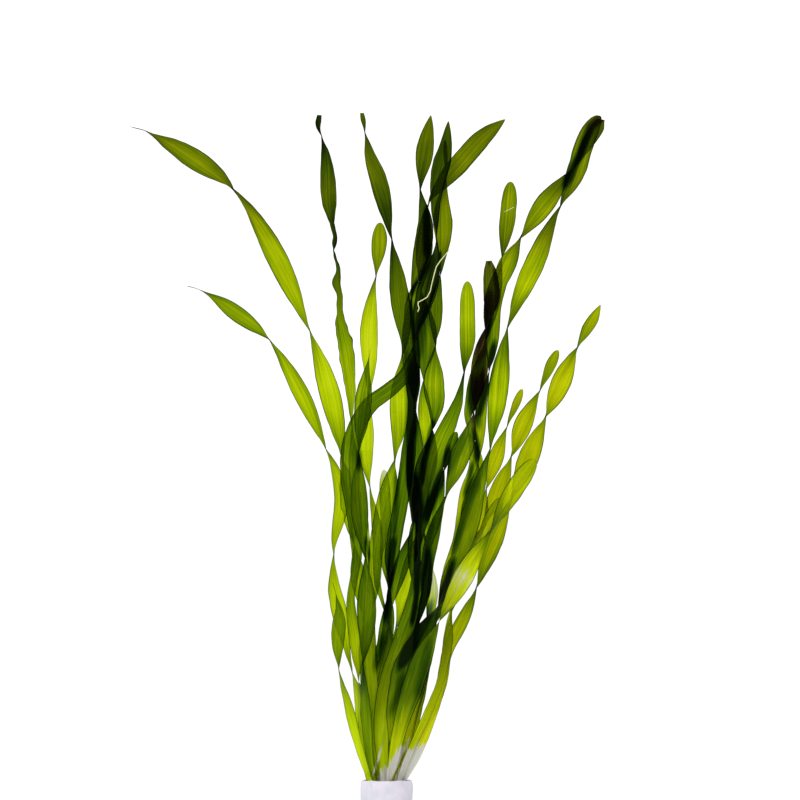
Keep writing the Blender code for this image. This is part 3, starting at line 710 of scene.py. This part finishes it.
# The darker blades turn from green to olive towards the top of the bunch.
OLIVE_TOPS = ((240, 1.0), (330, 0.35), (420, 0.0))
OLIVE_TONES = ((0.40, 0.15), (0.62, 1.0))
TWIST_SHADE = 0.24         # painted shade where a blade turns edge-on
TWIST_SHADE_FADE = ((660, 1.0), (720, 0.0))  # which fades out at the leaf bases
CURVE_TONE = 0.10         # darkening towards its margins


def tip_shape(kind, left):
    """Share of the full width at a distance from the leaf's end."""
    if kind == "point":
        return 0.03 + 0.97 * min(1.0, left / TAPER) ** 0.8
    if kind == "slim":
        t = 1 - min(1.0, left / TAPER)
        return 0.03 + 0.97 * (1 - t ** 1.8) ** 0.9
    if kind == "round":
        t = 1 - min(1.0, left / ROUND_TIP)
        return 0.02 + 0.98 * math.sqrt(max(0.0, 1 - t ** 2.2))
    return 0.62 + 0.38 * min(1.0, left / CUT_TIP)


def fine_heights(leaf):
    """Heights of a dressed blade's sections and how far each lies from the tip."""
    count = 600
    heights = [leaf.foot + (leaf.top - leaf.foot) * i / count for i in range(count + 1)]
    run = [0.0]
    for low, high in zip(heights, heights[1:]):
        run.append(run[-1] + (point_on(leaf, high) - point_on(leaf, low)).length)
    length = run[-1]
    steps = round(length / FINE_STATION)
    wanted = [length * i / steps for i in range(steps)]
    wanted += [length - 0.0005, length - 0.0002, length]
    table = list(zip(run, heights))
    return [(w, step_between(table, w), length - w) for w in sorted(set(wanted))]


def map_y(z):
    """Height on the leaf map of a height in the model."""
    return MOUTH_Y - (z - SLEEVE_HEIGHT) / STEP


def look_at(leaf, what, y, default=0.0):
    table = LOOKS[leaf.name].get(what)
    return step_between(table, y) if table else default


def blanch_at(x, y, streak):
    """Whiteness of the leaf bases: none on the left of the bunch."""
    low = step_between(BLANCH_LINE, x) + BLANCH_STREAK * streak
    return min(1.0, max(0.0, (y - low) / BLANCH_FADE))


def stroke_at(marks, x, y):
    """Strength of soft strokes at a place of the leaf map."""
    most = 0.0
    for amount, half, course in marks:
        reach = STROKE_REACH * half
        if not course[0][1] - STROKE_ENDS * reach < y < course[-1][1] + STROKE_ENDS * reach:
            continue
        last = len(course) - 2
        for i, ((x0, y0), (x1, y1)) in enumerate(zip(course, course[1:])):
            dx, dy = x1 - x0, y1 - y0
            length = math.hypot(dx, dy)
            along = ((x - x0) * dx + (y - y0) * dy) / length
            aside = abs((x - x0) * dy - (y - y0) * dx) / length
            past = max(-along, along - length, 0.0)
            if (i == 0 and along < 0) or (i == last and along > length):
                past /= STROKE_ENDS
            gone = math.hypot(aside, past) / reach
            if gone < 1.0:
                most = max(most, amount * (1 - gone * gone) ** 1.5)
    return most


def new_piece(name, verts, faces, material):
    """A smooth mesh of one material."""
    mesh = bpy.data.meshes.new(name)
    mesh.from_pydata([tuple(v) for v in verts], [], faces)
    mesh.polygons.foreach_set("use_smooth", [True] * len(mesh.polygons))
    mesh.update()
    mesh.materials.append(material)
    piece = bpy.data.objects.new(name, mesh)
    bpy.context.collection.objects.link(piece)
    return piece


def dress_leaf(leaf, index, material):
    """Fine cupped blade, with what its material needs told at every point."""
    verts = []
    blade = []  # place across, place along, leaf
    tint = []   # tone with painted shade, pale, brown, clear
    heat = []
    for along, z, left in fine_heights(leaf):
        here = point_on(leaf, z)
        small = 0.0006
        tangent = (point_on(leaf, z + small) - point_on(leaf, z - small)).normalized()
        side = tangent.cross(Vector((0, 1, 0))).normalized()
        face = side.cross(tangent)
        angle = leaf.angle(z)
        across = side * math.cos(angle) + face * math.sin(angle)
        through = tangent.cross(across).normalized()
        width = leaf.width(z) * tip_shape(leaf.tip, left)
        y = map_y(z)
        # Painted shade: the blade is darkened where it turns edge-on.
        turned = (1 - abs(math.cos(angle))) ** 1.5 * step_between(TWIST_SHADE_FADE, y)
        tone = look_at(leaf, "tone", y) + TWIST_SHADE * turned
        clear = min(step_between(CLEAR, y), look_at(leaf, "clear", y, 1.0))
        olive = step_between(OLIVE_TOPS, y) * step_between(OLIVE_TONES, tone)
        olive = max(olive, look_at(leaf, "warm", y))
        pale = look_at(leaf, "pale", y)
        brown = look_at(leaf, "brown", y)
        wavy = look_at(leaf, "wavy", y)
        for i in range(ACROSS + 1):
            u = 2 * i / ACROSS - 1
            edge = abs(u) ** 3
            right = 2.0 * (u > 0)
            ripple = noise.noise(Vector((along * 180, 7.0 * index, 3.0 + right)))
            margin = noise.noise(Vector((along * 260, 5.0 * index, 9.0 + right)))
            off = u * width / 2 * (1 + (RAG + WAVY_RAG * wavy) * edge * margin)
            lift = CUP * width * (0.45 - u * u) + (LIFT + WAVY_LIFT * wavy) * edge * ripple
            spot = here + across * off + through * lift
            verts.append(spot)
            x = spot.x / STEP + AXIS_X
            spot_y = map_y(spot.z)
            streak = noise.noise(Vector((u * 5.0, 3.0 * index, along * 40)))
            # Painted shade of crossing blades is added to the tone here.
            shade = tone + CURVE_TONE * u * u + stroke_at(PAINTED_SHADES, x, spot_y)
            white = max(pale, blanch_at(x, spot_y, streak), stroke_at(PALES, x, y))
            dry = max(brown, stroke_at(BROWNS, x, y))
            blade.append((u, along, index * 1.37))
            tint.append((shade, white, dry, clear))
            heat.append(olive)
    row = ACROSS + 1
    faces = [(a, a + 1, a + 1 + row, a + row)
             for j in range(0, len(verts) - row, row) for a in range(j, j + ACROSS)]
    piece = new_piece(leaf.name + "_blade", verts, faces, material)
    layers = piece.data.attributes
    layer = layers.new("blade", "FLOAT_VECTOR", "POINT")
    layer.data.foreach_set("vector", [c for v in blade for c in v])
    layer = layers.new("tint", "FLOAT_COLOR", "POINT")
    layer.data.foreach_set("color", [c for v in tint for c in v])
    layer = layers.new("warm", "FLOAT", "POINT")
    layer.data.foreach_set("value", heat)
    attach(piece, "root")
    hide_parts(leaf.name)


def foam_radius(z, angle):
    """Outside of the soft foam: the rule of the sleeve with slack folds."""
    seam = math.radians(SEAM_ANGLE)
    turn = ((angle - seam) / (2 * math.pi)) % 1.0
    radius = sleeve_radius(z) - SEAM_STEP * turn ** 1.5
    spot = Vector((math.cos(angle) * 1.3, math.sin(angle) * 1.3, z * 55))
    radius += 0.00032 * noise.noise(spot * 1.4) + 0.00012 * noise.noise(spot * 5.0)
    squeeze = math.exp(-((z - 0.0345) / 0.0022) ** 2)
    return radius + 0.00035 * squeeze * max(0.0, math.cos(angle))


def sheet_piece(name, rows, material, closed_ends=False):
    """Faces between neighbouring rings of the same count."""
    verts = [v for row in rows for v in row]
    count = len(rows[0])
    faces = []
    for a in range(0, len(verts) - count, count):
        b = a + count
        for i in range(count):
            k = (i + 1) % count
            faces.append((a + i, a + k, b + k, b + i))
    if closed_ends:
        faces.append(tuple(range(count))[::-1])
        faces.append(tuple(range(len(verts) - count, len(verts))))
    return new_piece(name, verts, faces, material)


# The foam's underside corner and its rolled rim: distance from the sleeve's
# lower or upper end, and how far inside its outer surface.
FOAM_FOOT = ((0.0, 0.0008), (0.0004, 0.0003), (0.0010, 0.0))
FOAM_RIM = ((0.0010, 0.0), (0.0004, 0.00015), (0.0001, 0.0004), (0.0, 0.0007),
            (0.0002, LIP_WALL))
RIM_DIP = 0.00035         # how far the rim sags and rises


def dress_sleeve(material):
    """Soft foam strip: rolled rim, slack folds and the step of the seam."""
    count = 180
    angles = [math.radians(SEAM_ANGLE) + 2 * math.pi * (i + 0.001) / count for i in range(count)]
    outside = list(FOAM_FOOT)
    outside += [(0.0010 + 0.0006 * i, 0.0) for i in range(1, 59)]
    outside += [(SLEEVE_HEIGHT - down, inset) for down, inset in FOAM_RIM]
    inside = [(SLEEVE_HEIGHT - 0.002 * i, LIP_WALL + 0.0003) for i in range(1, 19)]
    rows = []
    for z, inset in outside:
        dip = RIM_DIP if z > SLEEVE_HEIGHT - 0.0008 else 0.0
        ring = []
        for angle in angles:
            radius = foam_radius(z, angle) - inset
            sag = dip * noise.noise(Vector((math.cos(angle) * 2, math.sin(angle) * 2, 4.0)))
            ring.append((radius * math.cos(angle), radius * math.sin(angle), z + sag))
        rows.append(ring)
    for z, wall in inside + [(0.0, SLEEVE_WALL)]:
        bore = bore_radius(z, wall)
        rows.append([(bore * math.cos(a), bore * math.sin(a), z) for a in angles])
    rows.append(rows[0])
    piece = sheet_piece("foam_sleeve_soft", rows, material)
    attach(piece, "root")
    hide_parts("foam_sleeve")


# Loose threads on the blades: thickness in map steps, course on the leaf map.
THREADS = (
    (0.9, """450 250, 440 262, 436 268, 434 275, 432 283, 430 292, 427 298, 422 301, 418 303,
        418 306, 419 309, 417 314"""),
    (0.6, "505 210, 511 207, 517 204"),
)
THREAD_SPACE = 0.0012     # from the nearest blade to a thread's middle
THREAD_DROP = 0.004       # the most that a thread falls back between blades
BEHIND = 1.0              # depth told where no blade stands


def front_of(leaves, x, z):
    """Depth of the nearest blade at a place seen from the front."""
    near = BEHIND
    for leaf in leaves:
        if leaf.foot < z < leaf.top:
            half = leaf.width(z) / 2
            if abs(leaf.x(z) - x) < half + 0.0008:
                near = min(near, leaf.depth(z) - half * abs(math.sin(leaf.angle(z))))
    return near


def make_thread(name, wide, course, leaves, material):
    """A thin root hair lying on the front of the bunch."""
    spots = []
    course = pairs(course)
    for (x0, y0), (x1, y1) in zip(course, course[1:]):
        for i in range(4):
            x = map_x(x0 + (x1 - x0) * i / 4)
            z = map_z(y0 + (y1 - y0) * i / 4)
            spots.append((x, front_of(leaves, x, z), z))
    furthest = min(depth for x, depth, z in spots) + THREAD_DROP
    spots = [Vector((x, min(depth, furthest) - THREAD_SPACE, z)) for x, depth, z in spots]
    rows = []
    last = len(spots) - 1
    for i, spot in enumerate(spots):
        ahead = spots[min(i + 1, last)] - spots[max(i - 1, 0)]
        side = ahead.cross(Vector((0, 1, 0))).normalized()
        out = side.cross(ahead).normalized()
        radius = wide * STEP / 2 * (0.5 if i in (0, last) else 1.0)
        rows.append([spot + (side * math.cos(a) + out * math.sin(a)) * radius
                     for a in (math.pi * k / 4 for k in range(8))])
    piece = sheet_piece(name, rows, material, closed_ends=True)
    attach(piece, "root")


class Graph:
    """Short calls for a material's nodes."""

    def __init__(self, name):
        self.material = bpy.data.materials.new(name)
        self.material.use_nodes = True
        self.nodes = self.material.node_tree.nodes
        self.links = self.material.node_tree.links
        self.nodes.clear()

    def add(self, kind, inputs=(), output=0, **settings):
        """One output of a new node, whose inputs are told in order or by their names."""
        node = self.nodes.new("ShaderNode" + kind)
        for name, value in settings.items():
            setattr(node, name, value)
        for key, value in inputs.items() if isinstance(inputs, dict) else enumerate(inputs):
            if isinstance(value, bpy.types.NodeSocket):
                self.links.new(value, node.inputs[key])
            else:
                node.inputs[key].default_value = value
        return node.outputs[output]

    def attribute(self, name, output):
        return self.add("Attribute", (), output, attribute_type="GEOMETRY", attribute_name=name)

    def math(self, kind, *values, clamp=False):
        return self.add("Math", values, operation=kind, use_clamp=clamp)

    def remap(self, value, low, high, to_low=0.0, to_high=1.0):
        return self.add("MapRange", (value, low, high, to_low, to_high),
                        interpolation_type="SMOOTHSTEP")

    def noise(self, place, stretch, detail=1.0):
        spread = self.add("VectorMath", (place, stretch), operation="MULTIPLY")
        return self.add("TexNoise", {"Vector": spread, "Scale": 1.0, "Detail": detail}, "Fac")

    def ramp(self, value, stops):
        colour = self.add("ValToRGB", (value,))
        band = colour.node.color_ramp.elements
        while len(band) < len(stops):
            band.new(0.5)
        for element, (place, shade) in zip(band, stops):
            element.position = place
            element.color = (*shade, 1.0)
        return colour

    def mix(self, share, a, b, kind="MIX"):
        """Blend of two colours, each told as a socket or as red, green and blue."""
        a, b = ((*c, 1.0) if isinstance(c, tuple) else c for c in (a, b))
        return self.add("Mix", {0: share, 6: a, 7: b}, 2, data_type="RGBA", blend_type=kind)

    def bump(self, height, strength, distance):
        return self.add("Bump", {"Height": height, "Strength": strength, "Distance": distance})

    def principled(self, colour, rough, shine=0.5, relief=None):
        inputs = {"Base Color": colour, "Roughness": rough, "Specular IOR Level": shine}
        if relief is not None:
            inputs["Normal"] = relief
        return self.add("BsdfPrincipled", inputs)

    def finish(self, surface):
        out = self.nodes.new("ShaderNodeOutputMaterial")
        self.links.new(surface, out.inputs["Surface"])
        return self.material


# Colours, in linear light. The leaf's run with its tone.
LEAF_TONES = (
    (0.00, (0.62, 0.72, 0.020)),
    (0.25, (0.43, 0.56, 0.002)),
    (0.40, (0.27, 0.37, 0.001)),
    (0.50, (0.155, 0.26, 0.001)),
    (0.62, (0.082, 0.16, 0.001)),
    (0.75, (0.038, 0.095, 0.001)),
    (0.88, (0.015, 0.047, 0.001)),
    (1.00, (0.004, 0.012, 0.001)),
)
OLIVE = (1.35, 0.90, 1.0)  # multiplies them where a blade is warm
PITH = ((0.38, 0.37, 0.33), (0.70, 0.69, 0.62))
DRY = (0.085, 0.060, 0.006)
ROTTEN = (0.012, 0.007, 0.004)
FOAM = ((0.50, 0.51, 0.58), (0.60, 0.56, 0.63))
CROWN = ((0.30, 0.26, 0.14), (0.62, 0.60, 0.46))
THREAD = (0.62, 0.60, 0.34)
FLOOR = (0.92, 0.92, 0.92)


def leaf_material():
    """Thin veined blade: part of the light goes straight through and part glows in it."""
    g = Graph("leaf")
    blade = g.attribute("blade", "Vector")
    clear_share = g.attribute("tint", "Alpha")
    warm = g.attribute("warm", "Fac")
    # The tint's tone already holds painted shade of crossing and edge-on blades.
    tone, pale, brown = g.add("SeparateColor", (g.attribute("tint", "Color"),)).node.outputs
    across = g.math("ABSOLUTE", g.add("SeparateXYZ", (blade,)))

    veins = g.noise(blade, (6.5, 14.0, 10.0))
    threads = g.noise(blade, (24.0, 40.0, 10.0))
    blots = g.noise(blade, (1.2, 90.0, 10.0), 2.0)
    patch = g.noise(blade, (1.6, 60.0, 10.0), 3.0)
    for part, share in ((veins, 0.34), (threads, 0.16), (blots, 0.20)):
        tone = g.math("MULTIPLY_ADD", part, share, g.math("ADD", tone, -share / 2))
    margin = g.remap(across, 0.90, 0.98)
    middle = g.remap(across, 0.0, 0.09, 1.0, 0.0)
    tone = g.math("MULTIPLY_ADD", margin, 0.55, tone)
    tone = g.math("MULTIPLY_ADD", middle, 0.05, tone, clamp=True)
    colour = g.mix(warm, g.ramp(tone, LEAF_TONES), OLIVE, "MULTIPLY")

    streaks = g.math("MULTIPLY_ADD", threads, 0.8, veins)
    white = g.math("MULTIPLY_ADD", pale, 1.9, g.math("ADD", streaks, -1.45))
    white = g.remap(white, 0.0, 0.45)
    white = g.math("MULTIPLY", white, g.remap(pale, 0.0, 0.12))
    white = g.math("MULTIPLY", white, g.remap(brown, 0.1, 0.5, 1.0, 0.0))
    colour = g.mix(white, colour, g.mix(g.remap(threads, 0.35, 0.65), *PITH))
    colour = g.mix(g.math("MULTIPLY", brown, 0.7), colour, DRY)
    colour = g.mix(g.remap(g.math("ADD", brown, patch), 1.00, 1.30), colour, ROTTEN)

    relief = g.bump(g.math("MULTIPLY_ADD", threads, 0.5, veins), 0.25, 0.0004)
    body = g.principled(colour, 0.45, 0.02, relief)
    glow = g.add("BsdfTranslucent", {"Color": colour, "Normal": relief})
    solid = g.add("MixShader", (g.remap(clear_share, 0.2, 0.8, 0.15, 0.60), body, glow))
    clear = g.add("BsdfTransparent", {"Color": colour})
    return g.finish(g.add("MixShader", (clear_share, solid, clear)))


def foam_material():
    g = Graph("foam")
    place = g.add("TexCoord", (), "Object")
    blots = g.noise(place, (160.0, 160.0, 160.0), 3.0)
    cells = g.noise(place, (900.0, 900.0, 900.0), 2.0)
    colour = g.mix(g.remap(blots, 0.35, 0.65), *FOAM)
    relief = g.bump(g.math("MULTIPLY_ADD", blots, 2.0, cells), 0.35, 0.0006)
    return g.finish(g.principled(colour, 0.9, 0.2, relief))


def crown_material():
    g = Graph("crown")
    strands = g.noise(g.add("TexCoord", (), "Object"), (700.0, 700.0, 105.0), 3.0)
    colour = g.mix(g.remap(strands, 0.35, 0.65), *CROWN)
    return g.finish(g.principled(colour, 0.7, relief=g.bump(strands, 0.8, 0.001)))


def plain_material(name, colour, rough):
    g = Graph(name)
    return g.finish(g.principled((*colour, 1.0), rough))


SKY_STRENGTH = 1.12       # bright enough to clip the backdrop to white
LAMP_POWER = 9.0
LAMP_SIZE = 0.8
LAMP_PLACE = (-0.7, -1.0, 1.0)
SENSOR = 36.0
LENS = 400.0              # long, so that the picture's edges aren't drawn out


def make_stage():
    bpy.ops.mesh.primitive_plane_add(size=60)
    floor = bpy.context.object
    floor.name = "floor"
    floor.data.materials.append(plain_material("floor", FLOOR, 0.9))


def make_light():
    world = bpy.data.worlds.new("studio")
    world.use_nodes = True
    sky = world.node_tree.nodes["Background"]
    sky.inputs["Color"].default_value = (1, 1, 1, 1)
    sky.inputs["Strength"].default_value = SKY_STRENGTH
    bpy.context.scene.world = world
    lamp = bpy.data.lights.new("key", "AREA")
    lamp.energy = LAMP_POWER
    lamp.size = LAMP_SIZE
    key = bpy.data.objects.new("key", lamp)
    bpy.context.collection.objects.link(key)
    key.location = LAMP_PLACE
    key.rotation_euler = (Vector((0, 0, 0.15)) - key.location).to_track_quat("-Z", "Y").to_euler()


def make_camera():
    lens = bpy.data.cameras.new("camera")
    lens.sensor_width = SENSOR
    lens.lens = LENS
    camera = bpy.data.objects.new("camera", lens)
    bpy.context.collection.objects.link(camera)
    middle = MAP_SIZE / 2
    back = MAP_SIZE * STEP * LENS / SENSOR
    camera.location = (map_x(middle), -back, map_z(middle))
    camera.rotation_euler = (math.pi / 2, 0, 0)
    lens.clip_end = 200.0
    bpy.context.scene.camera = camera
    bpy.context.scene.view_settings.view_transform = "Standard"


def main():
    make_stage()
    make_light()
    make_camera()
    leaves = [Leaf(name, data) for name, data in LEAVES.items()]
    spread_apart(leaves)
    material = leaf_material()
    for index, leaf in enumerate(leaves):
        dress_leaf(leaf, index, material)
    dress_sleeve(foam_material())
    hair = plain_material("thread", THREAD, 0.8)
    for number, (wide, course) in enumerate(THREADS, 1):
        make_thread("thread_%d" % number, wide, course, leaves, hair)
    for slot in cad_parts["crown_bunch"].material_slots:
        slot.material = crown_material()


main()
